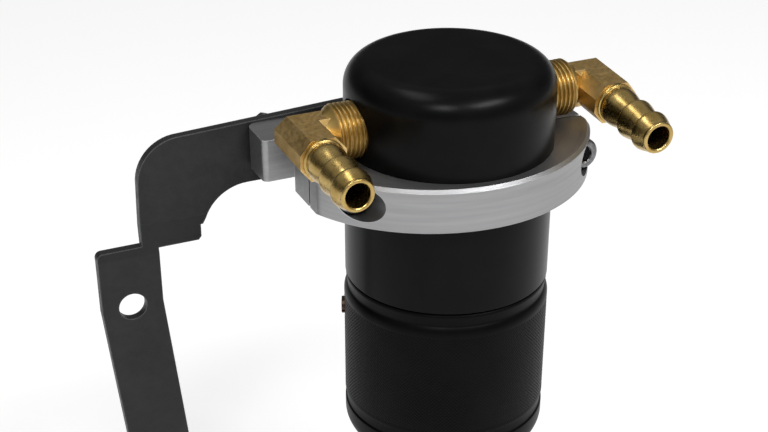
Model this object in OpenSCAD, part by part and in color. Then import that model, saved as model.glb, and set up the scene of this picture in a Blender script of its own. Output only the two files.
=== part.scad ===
// Oil catch can: a black two-piece canister held by a split clamp ring on a bent steel bracket.
// Millimetres. The work is drawn about the can's axis, with the cup's flat underside at height 0,
// the hose tails towards -Y, and is then moved so that the origin is the bracket's bolt hole.

/* [Can] */
// outside diameter of the upper body
can_d = 63.5; // [58:0.1:76]
// height of the cap's top face above the cup's underside
can_top = 127; // [115:1:145]
// radius of the rounded edge round the cap's top
cap_round = 8; // [4:0.5:12]
// thickness of the cap's top
top_wall = 6; // [4:0.5:9]
// diameter of the cavity in the upper body
body_bore_d = 50; // [44:0.5:54]
// height of the upper body's lower face
seam_z = 58; // [50:0.5:66]
// diameter of the screwed spigot under the upper body
spigot_d = 55.9; // [54:0.1:58]
// length of the screwed spigot
spigot_len = 18; // [14:0.5:22]

/* [Cup] */
// outside diameter of the cup over its knurl
cup_d = 64.4; // [60:0.1:76]
// gap that shows between the cup and the upper body
seam_gap = 0.4; // [0.3:0.1:1]
// height of the cup's shoulder, under its smooth neck
shoulder_z = 53.6; // [50:0.1:55]
// radius of the rounded edge of the shoulder
shoulder_round = 1; // [0.5:0.1:2]
// diameter of the neck's narrow end, just above the shoulder
neck_d = 62.2; // [60:0.1:63]
// radius round the foot of the cup
foot_round = 7; // [4:0.5:10]
// thickness of the cup's floor
cup_floor = 5; // [3:0.5:8]
// diameter of the oil space in the cup
cup_bore_d = 53; // [46:0.5:55]
// radial running clearance between the spigot and the cup
spigot_fit = 0.05; // [0.02:0.01:0.1]
// height of the middle of the groove under the knurl
groove_z = 12.5; // [9:0.5:20]
// width of that groove
groove_w = 4; // [2:0.5:6]
// depth of that groove
groove_deep = 0.5; // [0.3:0.1:1]
// width of the square seal ring
seal_w = 2.4; // [2:0.1:3]
// running clearance round the seal ring
seal_fit = 0.05; // [0.02:0.01:0.1]
// height of the locking screw in the cup's wall
lock_z = 43.6; // [41:0.2:46]
// direction of the locking screw about the can's axis
lock_turn = 156; // [90:1:200]
// diameter of the locking screw
lock_d = 5.5; // [4:0.5:6]
// how far the locking screw stands out of the cup
lock_out = 0.9; // [0.3:0.1:2]

/* [Inside] */
// height of the bottom of the circlip that holds the mesh
clip_z = 61; // [59:0.5:66]
// thickness of the circlip
clip_t = 1.5; // [1:0.1:2]
// thickness of the perforated screen
screen_t = 1.5; // [1:0.1:3]
// height of the two mesh pads
mesh_h = 22; // [12:1:28]
// thickness of the divider plate
divider_t = 1.5; // [1:0.1:3]

/* [Ports and elbows] */
// height of the left port
port_left_z = 109.7; // [100:0.1:114]
// height of the right port
port_right_z = 111.5; // [100:0.1:114]
// distance from the can's axis to the flat milled round each port
port_flat_x = 29.5; // [28.5:0.1:31]
// diameter of the flat milled round each port
port_flat_d = 19.4; // [19:0.1:24]
// diameter of the pipe thread where it leaves the can
thread_d = 17.2; // [14:0.1:19]
// diameter of the pipe thread at its large end
thread_big_d = 17.3; // [14:0.1:19.5]
// distance from the can's axis to the large end of the thread
thread_end_x = 39.6; // [38:0.1:44]
// how much farther the left elbow is screwed in than the right one
screwed_in = 1; // [0:0.1:2]
// pitch of the pipe thread
thread_pitch = 1.41; // [1:0.01:2]
// distance from the can's axis to the hose tail's axis
tail_x = 47.9; // [44:0.1:55]
// half of the width of the forged block
block_half_w = 7; // [5:0.1:9]
// half of the height of the forged block
block_half_h = 6.2; // [5:0.1:9]
// half of the thickness of the forged block's threaded leg
leg_half_w = 4.9; // [4.8:0.1:7]
// width of the slope along the threaded leg's edges
leg_slope_w = 1.8; // [1:0.1:3]
// width of the slope along the forged block's edges
slope_w = 3.3; // [1:0.1:4.5]
// height of the slope along the forged block's edges
slope_h = 4; // [1:0.1:4.5]
// distance from the port's axis to the forged block's front face
block_front = 15.7; // [12:0.1:20]
// distance from the port's axis to the end of the hose tail
tail_end = 40.4; // [34:0.1:50]
// diameter of the barbs over their sharp edges
barb_d = 12.3; // [10:0.1:16]
// diameter of the hose tail between its barbs
root_d = 9.6; // [9:0.1:12]
// diameter of the round collar against the block
collar_d = 12.6; // [11.5:0.1:13]
// diameter of the bore in the hose tail
tail_bore_d = 7.2; // [4:0.1:7.4]
// diameter of the bore in the threaded leg
port_bore_d = 9; // [6:0.1:12]
// how far the left hose tail droops, in degrees
droop_left = 1; // [-5:0.5:5]
// how far the right hose tail droops, in degrees
droop_right = 4; // [-5:0.5:5]

/* [Clamp ring] */
// height of the ring's lower face
ring_z = 87.4; // [80:0.2:92]
// height of the ring
ring_h = 13.6; // [11:0.2:16]
// radius of the ring's front arc
arc_r = 50; // [46:0.5:60]
// distance from the can's axis to the front of the ring
ring_front = 35.2; // [34.5:0.1:45]
// half of the ring's width across its flat sides
ring_half_w = 45.5; // [43:0.5:54]
// gap between the two halves
split_gap = 1; // [0.6:0.1:2]
// size of the slope along the arc's edges
ring_edge = 1; // [0.5:0.1:2]
// distance of the left clamp screw from the can's axis
screw_left_x = 36.8; // [36.5:0.1:39]
// distance of the right clamp screw from the can's axis
screw_right_x = 38.6; // [36.5:0.1:39]
// height of the clamp screws
screw_z = 94.8; // [93:0.1:95]
// diameter of the clamp screws
screw_d = 6; // [5:0.5:6]
// diameter of the clamp screws' heads
head_d = 10; // [8:0.5:10]
// height of the clamp screws' heads
head_h = 6; // [5:0.5:6]
// diameter of the counterbores
cbore_d = 10.6; // [10.4:0.1:11]
// distance from the can's axis to the counterbores' seat
seat_y = 9; // [7:0.5:12]
// distance from the can's axis to the tips of the clamp screws
tip_y = 10.5; // [8:0.5:11]
// half of the length of the foot
foot_half_l = 52; // [48:0.5:60]
// distance from the can's axis to the front of the foot
foot_front = 21; // [18:0.5:24]
// distance from the can's axis to the back of the foot
foot_back = 35.7; // [34:0.1:45]
// distance from the can's axis to the start of the slot between lobe and foot
slot_start = 11.6; // [11.5:0.1:15]

/* [Bracket] */
// thickness of the steel plate
plate_t = 3; // [2.5:0.1:5]
// height of the arm's lower edge
arm_low = 81.4; // [76:0.2:86]
// height of the arm's top edge at its outer corner
arm_top_left = 100.6; // [98:0.2:106]
// height of the arm's top edge behind the can
arm_top_right = 103; // [100:0.2:108]
// left edge of the arm
arm_left = -87.6; // [-100:0.2:-80]
// radius of the arm's outer corner
arm_round = 14; // [8:0.5:16]
// radius of the hollow corner under the arm
hollow_round = 15.2; // [10:0.2:20]
// where the hollow corner starts on the arm's lower edge
hollow_x = -52.5; // [-60:0.5:-50]
// height of the neck's lower edge
neck_low = 65.5; // [60:0.5:70]
// width of the leg
leg_w = 19.8; // [16:0.2:26]
// distance from the left edge of the arm to the middle of the leg
leg_out = 5.3; // [3:0.1:8]
// height of the leg's shoulder
leg_top = 66.7; // [60:0.1:74]
// height of the leg's lower end
leg_low = -14; // [-30:1:-5]
// slant of the leg below its hole, in degrees
leg_slant = 5.4; // [0:0.1:12]
// diameter of the bolt hole
hole_d = 9; // [6.6:0.1:11]
// height of the bolt hole above the cup's underside
hole_z = 46.8; // [40:0.2:52]
// how far the two shallow bends set the leg forwards
offset_y = 2; // [0:0.1:5]
// height of the upper bend
bend_high = 73; // [70:0.5:80]
// height of the lower bend
bend_low = 64; // [58:0.5:66]

/* [Foot bolts] */
// distance of each foot bolt from the end of the foot
bolt_inset = 8.5; // [7:0.5:14]
// diameter of the foot bolts
bolt_d = 6; // [5:0.5:8]
// width of the hexagon heads across their flats
hex_w = 10; // [8:0.5:13]
// height of the hexagon heads
hex_h = 4; // [3:0.5:6]
// turn of the left hexagon head in degrees
hex_turn = 22; // [0:1:59]
// thickness of the washers
washer_t = 1.2; // [0.8:0.1:2]
// diameter of the washers
washer_d = 12; // [9:0.5:16]

/* [Hidden] */
$fn = 96;
eps = 0.01;
can_r = can_d / 2;
cup_r = cup_d / 2;
body_bore_r = body_bore_d / 2;
spigot_r = spigot_d / 2;
cup_thread_r = spigot_r + spigot_fit;
cup_top = seam_z - seam_gap;
spigot_low = seam_z - spigot_len;
seal_top = seam_z - 0.6;
seal_low = seal_top - seal_w - 0.1;
seal_floor_r = spigot_r - 1.6;
thread_r = thread_d / 2;
thread_big_r = thread_big_d / 2;
thread_from = port_flat_x;
port_in = body_bore_r + 0.8;
arc_back = arc_r - ring_front;
bolt_x = foot_half_l - bolt_inset;
leg_x = arm_left - leg_out;
slab_deep = foot_back + 20;
ring_mid = ring_z + ring_h / 2;
leg_front_y = foot_back - offset_y;
bend_turn = atan(offset_y / (bend_high - bend_low));
bend_back = plate_t * tan(bend_turn / 2);
plate_back = foot_back + plate_t;
arm_right = foot_half_l;
clip_top = clip_z + clip_t;
screen_top = clip_top + screen_t;
cavity_top = can_top - top_wall;
slot_end = foot_front;
slot_r = (slot_end - slot_start) / 2;
slot_mid = (slot_end + slot_start) / 2;
slot_x = ring_half_w - slot_r + 1.6;
lock_in = cup_thread_r + 0.6;

// moves the work from the can's frame to the frame of the bracket's bolt hole
module placed() {
  translate([-leg_x, -(leg_front_y + plate_t), -hole_z]) children();
}

// a cylinder that runs along +Y from a start to an end
module along_y(r, from, to) {
  translate([0, to, 0]) rotate([90, 0, 0]) cylinder(r = r, h = to - from);
}

// a cylinder that runs along +X from a start to an end
module along_x(r, from, to) {
  translate([from, 0, 0]) rotate([0, 90, 0]) cylinder(r = r, h = to - from);
}

// Can

// half section of the upper body's outside, with its rounded top edge and screwed spigot
module body_section() {
  translate([0, seam_z + 0.6]) square([can_r, can_top - cap_round - seam_z - 0.6]);
  square_top = can_top - cap_round;
  translate([0, square_top - eps]) square([can_r - cap_round, cap_round + eps]);
  translate([can_r - cap_round, square_top]) circle(r = cap_round);
  polygon([[0, seam_z], [can_r - 0.6, seam_z], [can_r, seam_z + 0.6], [can_r, seam_z + 1],
    [0, seam_z + 1]]);
  translate([0, seal_top]) square([spigot_r - 0.9, seam_z - seal_top + eps]);
  translate([0, seal_low - eps]) square([seal_floor_r, seal_top - seal_low + 2 * eps]);
  translate([0, spigot_low + 1]) square([spigot_r, seal_low - spigot_low - 1]);
  polygon([[0, spigot_low], [spigot_r - 1, spigot_low], [spigot_r, spigot_low + 1],
    [0, spigot_low + 1]]);
}

// the cavity, the circlip's groove and the edge chamfer at the mouth
module body_hollow() {
  translate([0, 0, spigot_low - 1]) cylinder(r = body_bore_r, h = cavity_top - spigot_low + 1);
  translate([0, 0, clip_z]) cylinder(r = body_bore_r + 1.2, h = clip_t);
}

// one port: the hole for the pipe thread and the milled flat round it
module port_hole(height) {
  translate([0, 0, height]) {
    along_x(thread_r, body_bore_r - 5, can_r + 5);
    along_x(port_flat_d / 2, port_flat_x, can_r + 5);
  }
}

module upper_body() {
  color([0.05, 0.05, 0.05])
  placed()
  difference() {
    rotate_extrude() body_section();
    body_hollow();
    port_hole(port_right_z);
    mirror([1, 0, 0]) port_hole(port_left_z);
  }
}

// half section of the cup's outside
module cup_section() {
  top_flat = shoulder_z - shoulder_round;
  polygon([[0, top_flat], [neck_d / 2, top_flat], [neck_d / 2, shoulder_z],
    [can_r - 0.2, cup_top - 0.6], [can_r - 0.8, cup_top], [0, cup_top]]);
  translate([0, top_flat - eps]) square([cup_r - shoulder_round, shoulder_round + eps]);
  translate([cup_r - shoulder_round, top_flat]) circle(r = shoulder_round);
  translate([0, groove_z]) square([cup_r, top_flat - groove_z]);
  translate([0, foot_round]) square([cup_r, groove_z - foot_round + eps]);
  square([cup_r - foot_round, foot_round + eps]);
  translate([cup_r - foot_round, foot_round]) circle(r = foot_round);
}

module cup() {
  color([0.06, 0.06, 0.06])
  placed()
  difference() {
    rotate_extrude() cup_section();
    rotate_extrude()
      polygon([[cup_r - groove_deep, groove_z - groove_w / 2 + groove_deep],
        [cup_r + 1, groove_z - groove_w / 2 - 1],
        [cup_r + 1, groove_z + groove_w / 2 + 1],
        [cup_r - groove_deep, groove_z + groove_w / 2 - groove_deep]]);
    translate([0, 0, cup_floor]) cylinder(r = cup_bore_d / 2, h = cup_top);
    translate([0, 0, spigot_low - 3]) cylinder(r = cup_thread_r, h = cup_top);
    translate([0, 0, lock_z]) rotate([0, 0, lock_turn]) along_x(lock_d / 2, spigot_r - 2, cup_r + 2);
  }
}

module cup_seal() {
  color([0.08, 0.08, 0.08])
  placed()
  difference() {
    translate([0, 0, seal_low + 0.05]) cylinder(r = spigot_r - seal_fit, h = seal_w);
    translate([0, 0, seal_low - 1]) cylinder(r = seal_floor_r + seal_fit, h = seal_w + 3);
  }
}

module lock_screw() {
  color([0.7, 0.5, 0.35])
  placed()
  translate([0, 0, lock_z]) rotate([0, 0, lock_turn])
  difference() {
    union() {
      along_x(lock_d / 2 - 0.6, lock_in - eps, lock_in + 0.6);
      along_x(lock_d / 2, lock_in + 0.6, cup_r + lock_out);
    }
    translate([cup_r + lock_out - 1.2, -lock_d, -0.5]) cube([3, 2 * lock_d, 1]);
  }
}

// Inside of the can

module mesh_circlip() {
  color([0.3, 0.3, 0.32])
  placed()
  difference() {
    translate([0, 0, clip_z]) cylinder(r = body_bore_r + 1.1, h = clip_t);
    translate([0, 0, clip_z - 1]) cylinder(r = body_bore_r - 2.2, h = clip_t + 2);
    translate([-4, -body_bore_r - 3, clip_z - 1]) cube([8, 8, clip_t + 2]);
  }
}

module mesh_screen() {
  color([0.7, 0.7, 0.7])
  placed()
  difference() {
    translate([0, 0, clip_top]) cylinder(r = body_bore_r - 0.2, h = screen_t);
    for (ring = [1 : 3]) {
      for (k = [0 : ring * 6 - 1]) {
        rotate([0, 0, (k + 0.5) * 60 / ring]) translate([ring * body_bore_r * 0.27, 0, clip_top - 1])
          cylinder(r = 1.6, h = screen_t + 2, $fn = 24);
      }
    }
  }
}

module divider_plate() {
  color([0.75, 0.75, 0.76])
  placed()
  intersection() {
    translate([-divider_t / 2, -body_bore_r, screen_top])
      cube([divider_t, 2 * body_bore_r, cavity_top - screen_top]);
    translate([0, 0, screen_top]) cylinder(r = body_bore_r - 0.1, h = cavity_top - screen_top);
  }
}

// half of the mesh disc, on one side of the divider
module mesh_half(side) {
  placed()
  intersection() {
    translate([0, 0, screen_top]) cylinder(r = body_bore_r - 0.2, h = mesh_h);
    translate([side > 0 ? divider_t / 2 + 0.1 : -divider_t / 2 - 0.1 - body_bore_r,
      -body_bore_r, screen_top])
      cube([body_bore_r, 2 * body_bore_r, mesh_h]);
  }
}

module inlet_mesh() {
  color([0.6, 0.6, 0.6]) mesh_half(-1);
}

module outlet_mesh() {
  color([0.6, 0.6, 0.6]) mesh_half(1);
}

// Elbows

// half section of the tapered thread as rings, from the can's wall to the forged block
module thread_section() {
  turns = floor((thread_end_x - thread_from - 0.6) / thread_pitch);
  step = (thread_end_x - 0.6 - thread_from) / turns;
  rise = (thread_big_r - thread_r) / (thread_end_x - thread_from);
  polygon(concat([[0, port_in], [thread_r - 0.7, port_in], [thread_r, port_in + 0.7],
    [thread_r, thread_from]],
    [for (k = [0 : turns - 1]) each [
      [thread_r + rise * k * step - 0.75, thread_from + (k + 0.08) * step],
      [thread_r + rise * k * step - 0.75, thread_from + (k + 0.2) * step],
      [thread_r + rise * (k + 0.6) * step, thread_from + (k + 0.6) * step],
      [thread_r + rise * (k + 0.8) * step, thread_from + (k + 0.78) * step]]],
    [[thread_big_r - 0.6, thread_end_x - 0.6], [thread_big_r - 1.6, thread_end_x + 0.8],
      [0, thread_end_x + 0.8]]));
}

// half section of the hose tail with its three barbs, measured from the port's axis
module tail_section() {
  crest_r = barb_d / 2;
  root_r = root_d / 2;
  pitch = (tail_end - block_front - 8.4) / 2;
  second = tail_end - 5.9 - pitch;
  third = tail_end - 5.9;
  polygon([[0, block_front - 1], [collar_d / 2, block_front - 1],
    [collar_d / 2, block_front + 0.7], [collar_d / 2 - 0.5, block_front + 1.1],
    [collar_d / 2 - 0.3, block_front + 1.8], [root_r + 1.1, block_front + 4.4],
    [root_r + 0.35, second - 3.2], [root_r, second - 0.1],
    [crest_r - 0.3, second], [crest_r, second + 0.3], [crest_r, second + 1.1],
    [root_r + 0.5, third - 3], [root_r, third - 0.1],
    [crest_r - 0.3, third], [crest_r, third + 0.3], [crest_r, third + 1.1],
    [root_r, tail_end - 1.3], [root_r + 0.3, tail_end - 1],
    [root_r + 0.3, tail_end - 0.4], [root_r, tail_end], [0, tail_end]]);
}

// section of the forged block: a rectangle with sloped edges
module block_section(half_w, slope) {
  side_h = block_half_h - slope_h;
  polygon([[-half_w + slope, -block_half_h], [half_w - slope, -block_half_h],
    [half_w, -side_h], [half_w, side_h], [half_w - slope, block_half_h],
    [-half_w + slope, block_half_h], [-half_w, side_h], [-half_w, -side_h]]);
}

// the block's leg along the port
module block_leg_x(to) {
  translate([thread_end_x + 0.3, 0, 0]) rotate([90, 0, 90])
    linear_extrude(height = to - thread_end_x - 0.3) block_section(leg_half_w, leg_slope_w);
}

// the block's leg along the hose tail
module block_leg_y(from, to) {
  translate([tail_x, to, 0]) rotate([90, 0, 0])
    linear_extrude(height = to - from) block_section(block_half_w, slope_w);
}

// a right hand elbow, with its port's axis on X and its hose tail along -Y
module elbow() {
  difference() {
    union() {
      rotate([0, 90, 0]) rotate_extrude() thread_section();
      block_leg_x(tail_x);
      intersection() {
        block_leg_x(tail_x + block_half_w);
        block_leg_y(-leg_half_w, leg_half_w);
      }
      block_leg_y(-block_front, 0);
      translate([tail_x, 0, 0]) rotate([90, 0, 0]) rotate_extrude() tail_section();
    }
    along_x(port_bore_d / 2, port_in - 1, tail_x + tail_bore_d / 2 + 0.4);
    translate([tail_x, 0, 0]) along_y(tail_bore_d / 2, -tail_end - 1, 0);
  }
}

module outlet_elbow() {
  color([0.72, 0.6, 0.3])
  placed() translate([0, 0, port_right_z]) rotate([droop_right, 0, 0]) elbow();
}

module inlet_elbow() {
  color([0.72, 0.6, 0.3])
  placed() translate([screwed_in, 0, port_left_z]) rotate([droop_left, 0, 0])
    mirror([1, 0, 0]) elbow();
}

// Clamp ring

module clamp_front() {
  color([0.7, 0.7, 0.72])
  placed()
  difference() {
    intersection() {
      translate([0, arc_back, ring_z]) rotate_extrude($fn = 128)
        polygon([[0, 0], [arc_r - 0.3, 0], [arc_r, 0.3], [arc_r, ring_h - ring_edge],
          [arc_r - ring_edge, ring_h], [0, ring_h]]);
      translate([-ring_half_w, -arc_r, ring_z])
        cube([2 * ring_half_w, arc_r - split_gap / 2, ring_h]);
    }
    translate([0, 0, ring_z - 1]) cylinder(r = can_r, h = ring_h + 2);
    for (x = [-screw_left_x, screw_right_x]) {
      translate([x, 0, screw_z]) along_y(screw_d / 2 + 0.3, -arc_r, 1);
      translate([x, 0, screw_z]) along_y(cbore_d / 2, -arc_r, -seat_y);
    }
  }
}

// outline of the rear half: two lobes, two round slots and the long foot
module rear_outline() {
  difference() {
    union() {
      translate([-ring_half_w, split_gap / 2])
        square([2 * ring_half_w, foot_front + 4 - split_gap / 2]);
      translate([-foot_half_l, foot_front + 1.8])
        square([2 * foot_half_l, foot_back - foot_front - 1.8 - 3.5]);
      translate([-foot_half_l + 1.8, foot_front])
        square([2 * foot_half_l - 3.6, 4]);
      translate([-foot_half_l + 3.5, foot_back - 5])
        square([2 * foot_half_l - 7, 5]);
      for (x = [-1, 1]) {
        translate([x * (foot_half_l - 1.8), foot_front + 1.8]) circle(r = 1.8, $fn = 48);
        translate([x * (foot_half_l - 3.5), foot_back - 3.5]) circle(r = 3.5, $fn = 48);
      }
    }
    circle(r = can_r);
    for (x = [-1, 1]) {
      translate([x * slot_x, slot_mid]) circle(r = slot_r, $fn = 64);
      translate([x > 0 ? slot_x : -slot_x - foot_half_l, slot_start])
        square([foot_half_l, 2 * slot_r]);
    }
  }
}

module clamp_rear() {
  color([0.7, 0.7, 0.72])
  placed()
  difference() {
    translate([0, 0, ring_z]) linear_extrude(height = ring_h) rear_outline();
    for (x = [-screw_left_x, screw_right_x]) {
      translate([x, 0, screw_z]) along_y(screw_d / 2, 0, tip_y + 0.4);
    }
    for (x = [-bolt_x, bolt_x]) {
      translate([x, 0, ring_mid]) along_y(bolt_d / 2, foot_front + 3, foot_back + 1);
    }
  }
}

// a socket head screw that runs along +Y
module clamp_screw(x) {
  placed()
  translate([x, 0, screw_z])
  difference() {
    union() {
      along_y(head_d / 2, -seat_y - head_h, -seat_y);
      along_y(screw_d / 2, -seat_y - eps, tip_y);
    }
    translate([0, -seat_y - head_h + 3, 0]) rotate([90, 0, 0]) cylinder(r = 2.9, h = 4, $fn = 6);
  }
}

module clamp_screw_left() {
  color([0.35, 0.35, 0.37]) clamp_screw(-screw_left_x);
}

module clamp_screw_right() {
  color([0.35, 0.35, 0.37]) clamp_screw(screw_right_x);
}

// Bracket

// side view of the bent plate, as points in Y and Z
module plate_side() {
  polygon([[foot_back, 130], [foot_back, bend_high], [leg_front_y, bend_low],
    [leg_front_y, leg_low - 5], [leg_front_y + plate_t, leg_low - 5],
    [leg_front_y + plate_t, bend_low - bend_back], [plate_back, bend_high - bend_back],
    [plate_back, 130]]);
}

// an outline in X and Z made deep enough to cut the whole plate
module slab() {
  translate([0, slab_deep, 0]) rotate([90, 0, 0]) linear_extrude(height = slab_deep) children();
}

// the arm with its round outer corner, and the neck below its hollow
module arm_slab() {
  corner_x = arm_left + arm_round;
  corner_z = arm_top_left - arm_round;
  hollow_z = arm_low - hollow_round;
  neck_right = hollow_x - hollow_round;
  difference() {
    union() {
      slab() translate([corner_x, corner_z]) circle(r = arm_round, $fn = 96);
      slab() polygon([[corner_x, arm_top_left], [-19, arm_top_right], [arm_right - 3, arm_top_right],
        [arm_right, arm_top_right - 3], [arm_right, arm_low + 3], [arm_right - 3, arm_low],
        [corner_x, arm_low]]);
      slab() polygon([[arm_left, corner_z], [arm_left - 0.7, neck_low], [neck_right - 2.2, neck_low],
        [neck_right - 1.2, neck_low + 1], [neck_right - 0.2, hollow_z + 4],
        [hollow_x, hollow_z + 4], [hollow_x, corner_z]]);
    }
    slab() translate([hollow_x, hollow_z]) circle(r = hollow_round, $fn = 96);
  }
}

// the leg, with its slant below the bolt hole
module leg_slab() {
  half_w = leg_w / 2;
  drop = (hole_z - leg_low) / cos(leg_slant);
  difference() {
    union() {
      slab() translate([leg_x - half_w + 2, hole_z - 1]) square([leg_w - 2, leg_top - hole_z + 1]);
      slab() translate([leg_x - half_w, hole_z - 1]) square([4, leg_top - hole_z - 1]);
      slab() translate([leg_x - half_w + 2, leg_top - 2]) circle(r = 2, $fn = 32);
      slab() translate([leg_x, hole_z]) circle(r = half_w, $fn = 96);
      translate([leg_x, 0, hole_z]) rotate([0, -leg_slant, 0]) {
        slab() translate([-half_w, -drop + 3]) square([leg_w, drop - 3]);
        slab() translate([-half_w + 3, -drop]) square([leg_w - 6, 4]);
        slab() translate([-half_w + 3, -drop + 3]) circle(r = 3, $fn = 32);
        slab() translate([half_w - 3, -drop + 3]) circle(r = 3, $fn = 32);
      }
    }
    slab() translate([leg_x, hole_z]) circle(r = hole_d / 2);
  }
}

module bracket() {
  color([0.2, 0.2, 0.2])
  placed()
  difference() {
    intersection() {
      translate([leg_x - leg_w, 0, 0]) rotate([90, 0, 90])
        linear_extrude(height = foot_half_l - leg_x + 2 * leg_w) plate_side();
      union() {
        arm_slab();
        leg_slab();
      }
    }
    for (x = [-bolt_x, bolt_x]) {
      translate([x, 0, ring_mid]) along_y(bolt_d / 2 + 0.3, foot_back - 1, plate_back + 1);
    }
  }
}

// Foot bolts

module foot_washer(x) {
  placed()
  translate([x, 0, ring_mid])
  difference() {
    along_y(washer_d / 2, plate_back, plate_back + washer_t);
    along_y(bolt_d / 2 + 0.2, plate_back - 1, plate_back + washer_t + 1);
  }
}

module foot_bolt(x, turn) {
  head_y = plate_back + washer_t;
  placed()
  translate([x, 0, ring_mid]) {
    along_y(bolt_d / 2, foot_front + 3.4, head_y + eps);
    translate([0, head_y + hex_h, 0]) rotate([90, turn, 0])
      cylinder(r = hex_w / 2 / cos(30), h = hex_h, $fn = 6);
  }
}

module foot_washer_left() {
  color([0.6, 0.6, 0.6]) foot_washer(-bolt_x);
}

module foot_washer_right() {
  color([0.6, 0.6, 0.6]) foot_washer(bolt_x);
}

module foot_bolt_left() {
  color([0.35, 0.35, 0.35]) foot_bolt(-bolt_x, hex_turn);
}

module foot_bolt_right() {
  color([0.35, 0.35, 0.35]) foot_bolt(bolt_x, 10);
}

upper_body();
cup();
cup_seal();
lock_screw();
clamp_front();
clamp_rear();
clamp_screw_left();
clamp_screw_right();
bracket();
foot_bolt_left();
foot_bolt_right();
foot_washer_left();
foot_washer_right();
inlet_elbow();
outlet_elbow();
divider_plate();
inlet_mesh();
outlet_mesh();
mesh_screen();
mesh_circlip();
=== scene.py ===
import math

import bmesh
import bpy
from mathutils import Matrix, Vector


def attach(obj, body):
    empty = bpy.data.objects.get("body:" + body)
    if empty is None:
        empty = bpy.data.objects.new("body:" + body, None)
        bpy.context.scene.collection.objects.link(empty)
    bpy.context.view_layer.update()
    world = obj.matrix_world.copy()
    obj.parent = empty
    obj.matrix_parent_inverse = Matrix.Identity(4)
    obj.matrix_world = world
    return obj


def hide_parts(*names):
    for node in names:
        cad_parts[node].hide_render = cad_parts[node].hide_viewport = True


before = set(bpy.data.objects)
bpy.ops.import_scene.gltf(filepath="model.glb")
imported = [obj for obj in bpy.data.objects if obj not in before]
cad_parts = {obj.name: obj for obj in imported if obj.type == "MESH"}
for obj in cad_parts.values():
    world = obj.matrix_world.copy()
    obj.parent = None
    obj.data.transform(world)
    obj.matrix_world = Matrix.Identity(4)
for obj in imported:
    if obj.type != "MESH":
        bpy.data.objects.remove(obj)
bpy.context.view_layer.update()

# Every piece is drawn in millimetres about the can's axis, with the cup's underside at height 0,
# and is then moved to the frame of the bracket's bolt hole.
CAN_AXIS = Vector((92.9, -36.7, -46.8))
AXIS_IN_FRAME = (0.0929, -0.0367, 0)
TO_FRAME = Matrix.Scale(0.001, 4) @ Matrix.Translation(CAN_AXIS)
FROM_FRAME = TO_FRAME.inverted()

CAN_R = 31.75
CAN_TOP = 127
CAP_ROUND = 8
CAP_UNDERSIDE = 121
BORE_R = 25
CIRCLIP_GROOVE_R = 26.2
CIRCLIP_GROOVE_LOW = 61
CIRCLIP_GROOVE_TOP = 62.5
SEAM_Z = 58
SPIGOT_R = 27.9
SPIGOT_LOW = 40
SEAL_LOW = 54.9
SEAL_TOP = 57.4
SEAL_FLOOR_R = 26.35
SPIGOT_PITCH = 2.0
CUP_R = 32.2
CUP_BORE_R = 26.5
CUP_THREAD_R = 28
CUP_FOOT_ROUND = 7
SHOULDER_ROUND = 4
SHOULDER_Z = 50.6
KNURL_LOW = 15.1
KNURL_HIGH = 50.3
KNURL_ROWS = 58
KNURL_TEETH = 324
KNURL_DEEP = 0.11
LOCK_Z = 43.6
LOCK_TURN = math.radians(156)
LOCK_R = 2.75
PORT_FLAT_X = 29.5
PORT_FLAT_R = 9.1
PORT_R = 8.6
PORT_LEFT_Z = 109.7
PORT_RIGHT_Z = 111.5
THREAD_END_X = 39.6
THREAD_PITCH = 1.41
TAIL_X = 47.9
BLOCK_HALF_W = 7
BLOCK_HALF_H = 6.2
BLOCK_FRONT = 15.7
LEG_HALF_W = 4.9
TAIL_END = 40.4
TAIL_BORE_R = 3.6
PORT_BORE_R = 4.5
SCREW_Z = 94.8
SCREW_LEFT_X = -36.8
SCREW_RIGHT_X = 38.6
SCREW_HEAD_R = 4.95
SCREW_SHANK_R = 2.95
SCREW_SOCKET_FLATS = 5
SEAT_Y = 9
RING_MID_Z = 94.2
PLATE_BACK_Y = 38.7
BOLT_X = 43.5
BOLT_FLATS = 11.4
BOLT_HEAD_H = 4
WASHER_R = 6.4
WASHER_T = 1.2


# Shapes

def arc(centre, radius, start, end, steps):
    """Points of an arc in a half section, from one angle in degrees to another."""
    angles = [math.radians(start + (end - start) * i / steps) for i in range(steps + 1)]
    return [(centre[0] + radius * math.cos(a), centre[1] + radius * math.sin(a)) for a in angles]


def softened(points, radius, steps=3):
    """The same half section, with each inner corner turned on a small radius."""
    out = [points[0]]
    for before, at, after in zip(points, points[1:], points[2:]):
        a, b, c = Vector(before), Vector(at), Vector(after)
        reach = min(radius, (a - b).length * 0.45, (c - b).length * 0.45)
        start, end = b + (a - b).normalized() * reach, b + (c - b).normalized() * reach
        for i in range(steps + 1):
            t = i / steps
            out.append(tuple((1 - t) ** 2 * start + 2 * t * (1 - t) * b + t * t * end))
    out.append(points[-1])
    return out


def turn(bm, section, steps=160, place=Matrix(), shape=None):
    """Turns a half section of (radius, height) about the local Z axis, as on a lathe.
    shape(radius, height, angle, ring, step) may change the radius, for threads and knurls."""
    rings = []
    for i, (radius, height) in enumerate(section):
        if radius < 1e-6:
            rings.append([bm.verts.new(place @ Vector((0, 0, height)))])
            continue
        ring = []
        for j in range(steps):
            a = 2 * math.pi * j / steps
            r = shape(radius, height, a, i, j) if shape else radius
            ring.append(bm.verts.new(place @ Vector((r * math.cos(a), r * math.sin(a), height))))
        rings.append(ring)
    for i, (low, high) in enumerate(zip(rings, rings[1:])):
        if len(low) == 1 and len(high) == 1:
            continue
        for j in range(steps):
            k = (j + 1) % steps
            if len(low) == 1:
                bm.faces.new((low[0], high[k], high[j]))
            elif len(high) == 1:
                bm.faces.new((low[j], low[k], high[0]))
            else:
                bm.faces.new((low[j], low[k], high[k], high[j]))
    return bm


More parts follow.
